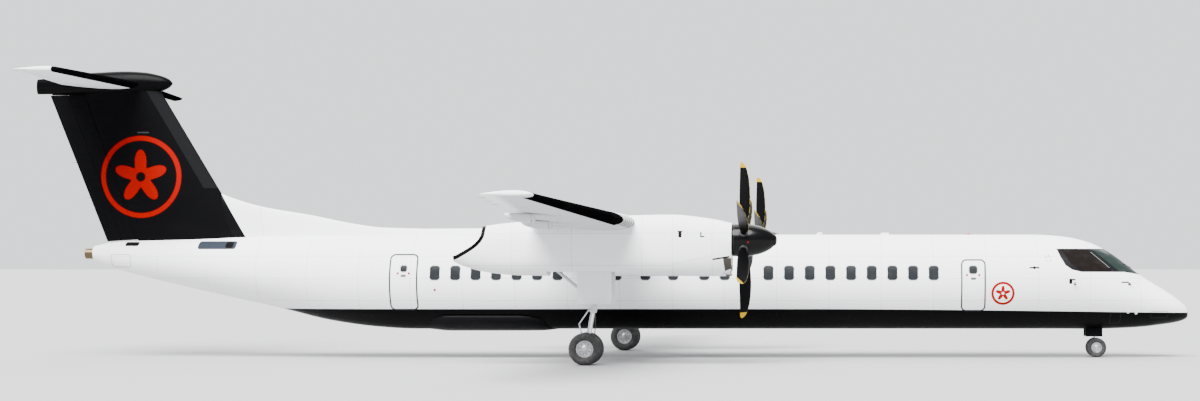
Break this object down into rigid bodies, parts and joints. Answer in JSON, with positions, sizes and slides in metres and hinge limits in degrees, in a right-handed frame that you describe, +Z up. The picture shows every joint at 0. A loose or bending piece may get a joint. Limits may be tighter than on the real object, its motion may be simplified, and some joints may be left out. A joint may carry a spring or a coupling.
{
  "type": "turboprop airliner",
  "caption": "High-wing, T-tail regional airliner on its gear, with turboprop nacelles under the wing, turning propellers, moving flaps and control surfaces, a steered nose gear and an airstair.",
  "frame": {"origin": "on the floor, below the middle of the overall length, in the plane of symmetry", "axes": "+X to the nose, +Y to the left wing tip, +Z up"},
  "size_m": [32.83, 28.42, 8.1568],
  "materials": {
    "white_paint": "gloss enamel",
    "black_paint": "gloss enamel",
    "charcoal_paint": "satin enamel",
    "grey_paint": "satin enamel",
    "dark_glass": "polished",
    "bronze_pipe": "heat-tinted",
    "exhaust_metal": "heat-tinted",
    "engine_alloy": "as cast",
    "blade_composite": "satin",
    "rim_alloy": "satin",
    "tyre_rubber": "matt",
    "gear_steel": "semi-gloss enamel",
    "interior_plastic": "matt"
  },
  "bodies": {
    "airframe": {"fuselage": "white_paint", "exit_door_front": "white_paint", "passenger_door_rear": "white_paint", "service_door_rear": "white_paint", "baggage_door": "white_paint", "windshield_left": "dark_glass", "windshield_right": "dark_glass", "side_pane_left": "dark_glass", "side_pane_right": "dark_glass", "tail_pipe": "bronze_pipe", "flight_deck": "interior_plastic", "belly_fairing": "black_paint", "wing_outer_left": "white_paint", "wing_outer_right": "white_paint", "wing_centre": "white_paint", "wing_root_fairing": "white_paint", "tailplane": "grey_paint", "tail_bullet": "charcoal_paint", "fin": "charcoal_paint", "dorsal_fin": "white_paint", "nacelle_left": "white_paint", "nacelle_right": "white_paint", "engine_left": "engine_alloy", "engine_right": "engine_alloy", "jet_pipe_left": "exhaust_metal", "jet_pipe_right": "exhaust_metal", "main_leg_left": "gear_steel", "main_leg_right": "gear_steel", "main_doors_left": "white_paint", "main_doors_right": "white_paint", "nose_leg": "gear_steel", "nose_doors": "black_paint"},
    "airstair": {"airstair_door": "white_paint"},
    "propeller_left": {"spinner_left": "black_paint", "prop_blades_left": "blade_composite"},
    "propeller_right": {"spinner_right": "black_paint", "prop_blades_right": "blade_composite"},
    "main_wheels_left": {"rims_main_left": "rim_alloy", "tyre_main_left_left": "tyre_rubber", "tyre_main_left_right": "tyre_rubber"},
    "main_wheels_right": {"rims_main_right": "rim_alloy", "tyre_main_right_left": "tyre_rubber", "tyre_main_right_right": "tyre_rubber"},
    "nose_steering_leg": {"nose_fork": "gear_steel"},
    "nose_wheels": {"rims_nose": "rim_alloy", "tyre_nose_left": "tyre_rubber", "tyre_nose_right": "tyre_rubber"},
    "inner_flap_left": {"flap_inner_left": "white_paint"},
    "inner_flap_right": {"flap_inner_right": "white_paint"},
    "outer_flap_left": {"flap_outer_left": "white_paint"},
    "outer_flap_right": {"flap_outer_right": "white_paint"},
    "left_aileron": {"aileron_left": "white_paint"},
    "right_aileron": {"aileron_right": "white_paint"},
    "left_spoiler": {"spoiler_left": "white_paint"},
    "right_spoiler": {"spoiler_right": "white_paint"},
    "left_elevator": {"elevator_left": "white_paint"},
    "right_elevator": {"elevator_right": "white_paint"},
    "fore_rudder": {"rudder_fore": "charcoal_paint"},
    "trailing_rudder": {"rudder_trailing": "charcoal_paint"}
  },
  "joints": [
    {"name": "airstair_hinge", "type": "hinge", "parent": "airframe", "child": "airstair", "pos_m": [10.63, 1.06, 1.265], "axis": [-1, 0, 0], "range_deg": [0, 130]},
    {"name": "left_propeller_spin", "type": "hinge", "parent": "airframe", "child": "propeller_left", "pos_m": [4, 4.4, 3.28], "axis": [1, 0, 0], "continuous": true},
    {"name": "right_propeller_spin", "type": "hinge", "parent": "airframe", "child": "propeller_right", "pos_m": [4, -4.4, 3.28], "axis": [1, 0, 0], "continuous": true},
    {"name": "left_wheels_spin", "type": "hinge", "parent": "airframe", "child": "main_wheels_left", "pos_m": [-0.15, 4.4, 0.4283], "axis": [0, 1, 0], "continuous": true},
    {"name": "right_wheels_spin", "type": "hinge", "parent": "airframe", "child": "main_wheels_right", "pos_m": [-0.15, -4.4, 0.4283], "axis": [0, 1, 0], "continuous": true},
    {"name": "nose_steering", "type": "hinge", "parent": "airframe", "child": "nose_steering_leg", "pos_m": [13.79, 0, 0.6], "axis": [0, 0, 1], "range_deg": [-60, 60]},
    {"name": "nose_wheels_spin", "type": "hinge", "parent": "nose_steering_leg", "child": "nose_wheels", "pos_m": [13.79, 0, 0.27606], "axis": [0, 1, 0], "continuous": true},
    {"name": "left_inner_flap_hinge", "type": "hinge", "parent": "airframe", "child": "inner_flap_left", "pos_m": [-0.775, 3, 3.445], "axis": [0, -1, 0], "range_deg": [0, 35]},
    {"name": "right_inner_flap_hinge", "type": "hinge", "parent": "airframe", "child": "inner_flap_right", "pos_m": [-0.775, -3, 3.445], "axis": [0, -1, 0], "range_deg": [0, 35]},
    {"name": "left_outer_flap_hinge", "type": "hinge", "parent": "airframe", "child": "outer_flap_left", "pos_m": [-0.775, 6.7, 3.54542], "axis": [0, -0.999, -0.0436], "range_deg": [0, 35]},
    {"name": "right_outer_flap_hinge", "type": "hinge", "parent": "airframe", "child": "outer_flap_right", "pos_m": [-0.775, -6.7, 3.54542], "axis": [0, -0.999, 0.0436], "range_deg": [0, 35]},
    {"name": "left_aileron_hinge", "type": "hinge", "parent": "airframe", "child": "left_aileron", "pos_m": [-0.83, 10.46, 3.9942], "axis": [0, 0.9991, 0.0416], "range_deg": [-20, 20]},
    {"name": "right_aileron_hinge", "type": "hinge", "parent": "airframe", "child": "right_aileron", "pos_m": [-0.83, -10.46, 3.9942], "axis": [0, 0.9991, -0.0416], "range_deg": [-20, 20]},
    {"name": "left_spoiler_hinge", "type": "hinge", "parent": "airframe", "child": "left_spoiler", "pos_m": [-0.34, 5.35, 3.96874], "axis": [0, 0.9996, 0.0274], "range_deg": [0, 60]},
    {"name": "right_spoiler_hinge", "type": "hinge", "parent": "airframe", "child": "right_spoiler", "pos_m": [-0.34, -5.35, 3.96874], "axis": [0, 0.9996, -0.0274], "range_deg": [0, 60]},
    {"name": "left_elevator_hinge", "type": "hinge", "parent": "airframe", "child": "left_elevator", "pos_m": [-14.93, 2, 7.76], "axis": [0, 1, 0], "range_deg": [-20, 25]},
    {"name": "right_elevator_hinge", "type": "hinge", "parent": "airframe", "child": "right_elevator", "pos_m": [-14.93, -2, 7.76], "axis": [0, 1, 0], "range_deg": [-20, 25]},
    {"name": "rudder_hinge", "type": "hinge", "parent": "airframe", "child": "fore_rudder", "pos_m": [-13.5608, 0, 3.385], "axis": [-0.3428, 0, 0.9394], "range_deg": [-18, 18]},
    {"name": "trailing_rudder_hinge", "type": "hinge", "parent": "fore_rudder", "child": "trailing_rudder", "pos_m": [-14.0154, 0, 3.385], "axis": [-0.3504, 0, 0.9366], "range_deg": [-18, 18]}
  ],
  "couplings": [
    {"joint": "right_inner_flap_hinge", "follows": "left_inner_flap_hinge", "ratio": 1},
    {"joint": "left_outer_flap_hinge", "follows": "left_inner_flap_hinge", "ratio": 1},
    {"joint": "right_outer_flap_hinge", "follows": "left_inner_flap_hinge", "ratio": 1},
    {"joint": "right_aileron_hinge", "follows": "left_aileron_hinge", "ratio": -1},
    {"joint": "right_elevator_hinge", "follows": "left_elevator_hinge", "ratio": 1},
    {"joint": "trailing_rudder_hinge", "follows": "rudder_hinge", "ratio": 1}
  ]
}
